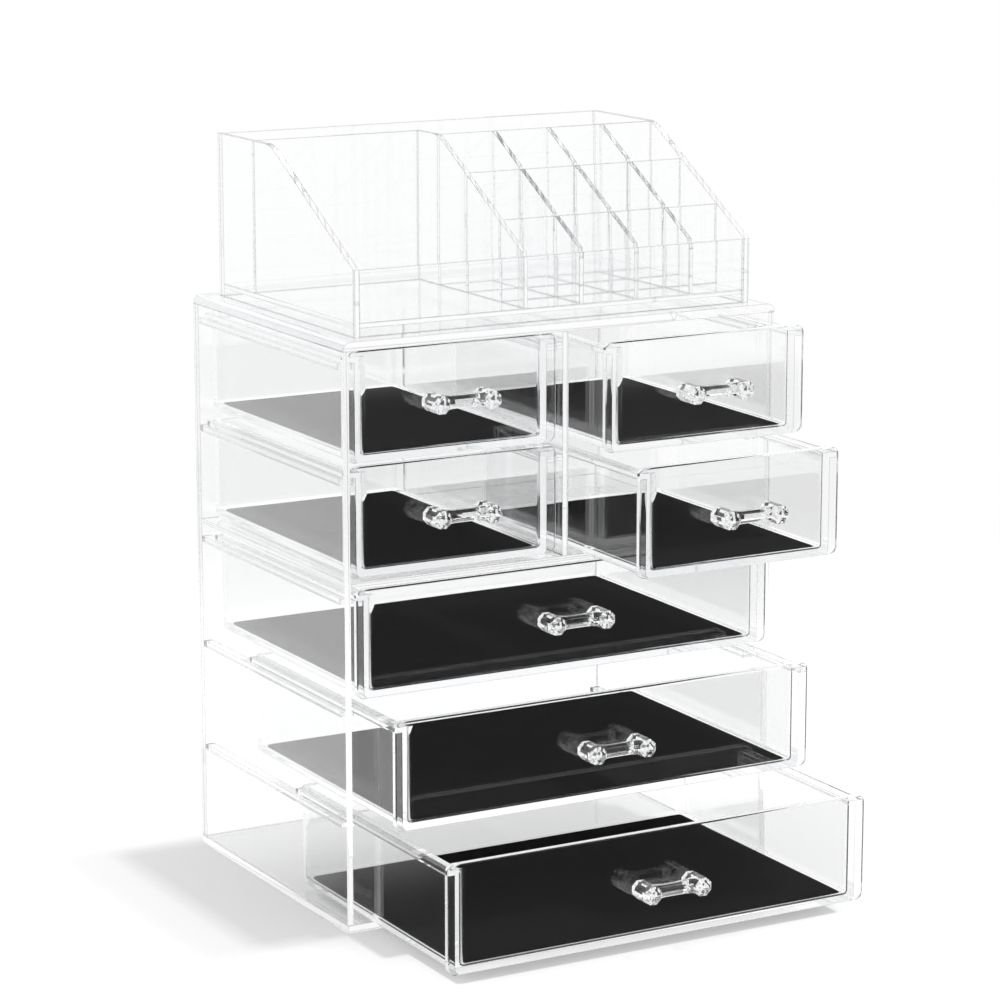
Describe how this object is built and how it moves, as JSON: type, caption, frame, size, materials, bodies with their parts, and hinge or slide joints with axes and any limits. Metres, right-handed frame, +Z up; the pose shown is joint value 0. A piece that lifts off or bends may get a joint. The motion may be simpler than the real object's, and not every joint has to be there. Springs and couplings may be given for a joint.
{
  "type": "makeup organizer",
  "caption": "Clear plastic make-up organizer: a case of sliding drawers with faceted handles and dark pads, and a loose slanted tray with slots on top.",
  "frame": {"origin": "middle of the case's base, on the surface that it stands on", "axes": "+X to the viewer's right along the drawer fronts, +Y from the fronts to the back, +Z up"},
  "size_m": [0.24, 0.2757, 0.3706],
  "materials": {
    "clear_plastic": "clear polished",
    "clear_handle": "clear faceted",
    "liner": "matte"
  },
  "bodies": {
    "case": {"case_base_panel": "clear_plastic", "case_left_panel": "clear_plastic", "case_right_panel": "clear_plastic", "case_back_panel": "clear_plastic", "case_top_panel": "clear_plastic", "case_middle_shelf": "clear_plastic", "case_center_divider": "clear_plastic", "runner_top_left_on_left": "clear_plastic", "runner_top_left_on_right": "clear_plastic", "runner_top_right_on_left": "clear_plastic", "runner_top_right_on_right": "clear_plastic", "runner_second_left_on_left": "clear_plastic", "runner_second_left_on_right": "clear_plastic", "runner_second_right_on_left": "clear_plastic", "runner_second_right_on_right": "clear_plastic", "runner_third_on_left": "clear_plastic", "runner_third_on_right": "clear_plastic", "runner_fourth_on_left": "clear_plastic", "runner_fourth_on_right": "clear_plastic", "runner_bottom_on_left": "clear_plastic", "runner_bottom_on_right": "clear_plastic"},
    "drawer_top_left": {"drawer_top_left_tub": "clear_plastic", "drawer_top_left_handle": "clear_handle", "drawer_top_left_liner": "liner"},
    "drawer_top_right": {"drawer_top_right_tub": "clear_plastic", "drawer_top_right_handle": "clear_handle", "drawer_top_right_liner": "liner"},
    "drawer_second_left": {"drawer_second_left_tub": "clear_plastic", "drawer_second_left_handle": "clear_handle", "drawer_second_left_liner": "liner"},
    "drawer_second_right": {"drawer_second_right_tub": "clear_plastic", "drawer_second_right_handle": "clear_handle", "drawer_second_right_liner": "liner"},
    "drawer_third": {"drawer_third_tub": "clear_plastic", "drawer_third_handle": "clear_handle", "drawer_third_liner": "liner"},
    "drawer_fourth": {"drawer_fourth_tub": "clear_plastic", "drawer_fourth_handle": "clear_handle", "drawer_fourth_liner": "liner"},
    "drawer_bottom": {"drawer_bottom_tub": "clear_plastic", "drawer_bottom_handle": "clear_handle", "drawer_bottom_liner": "liner"},
    "top_tray": {"tray_left_wall": "clear_plastic", "tray_right_wall": "clear_plastic", "tray_front_wall": "clear_plastic", "tray_back_wall": "clear_plastic", "tray_floor": "clear_plastic", "tray_partition": "clear_plastic", "tray_bay_rear_wall": "clear_plastic", "tray_slot_rear_wall": "clear_plastic", "tray_cross_wall_front": "clear_plastic", "tray_cross_wall_rear": "clear_plastic", "tray_slot_divider_1": "clear_plastic", "tray_slot_divider_2": "clear_plastic", "tray_slot_divider_3": "clear_plastic"}
  },
  "joints": [
    {"name": "top_left_drawer_slide", "type": "slide", "parent": "case", "child": "drawer_top_left", "axis": [0, -1, 0], "range_m": [-0.001, 0.119]},
    {"name": "top_right_drawer_slide", "type": "slide", "parent": "case", "child": "drawer_top_right", "axis": [0, -1, 0], "range_m": [-0.0384, 0.0816]},
    {"name": "second_left_drawer_slide", "type": "slide", "parent": "case", "child": "drawer_second_left", "axis": [0, -1, 0], "range_m": [-0.0015, 0.1185]},
    {"name": "second_right_drawer_slide", "type": "slide", "parent": "case", "child": "drawer_second_right", "axis": [0, -1, 0], "range_m": [-0.0702, 0.0498]},
    {"name": "third_drawer_slide", "type": "slide", "parent": "case", "child": "drawer_third", "axis": [0, -1, 0], "range_m": [-0.0084, 0.1116]},
    {"name": "fourth_drawer_slide", "type": "slide", "parent": "case", "child": "drawer_fourth", "axis": [0, -1, 0], "range_m": [-0.0471, 0.0729]},
    {"name": "bottom_drawer_slide", "type": "slide", "parent": "case", "child": "drawer_bottom", "axis": [0, -1, 0], "range_m": [-0.098, 0.022]},
    {"name": "tray_lift", "type": "slide", "parent": "case", "child": "top_tray", "axis": [0, 0, 1], "range_m": [0, 0.1]}
  ]
}
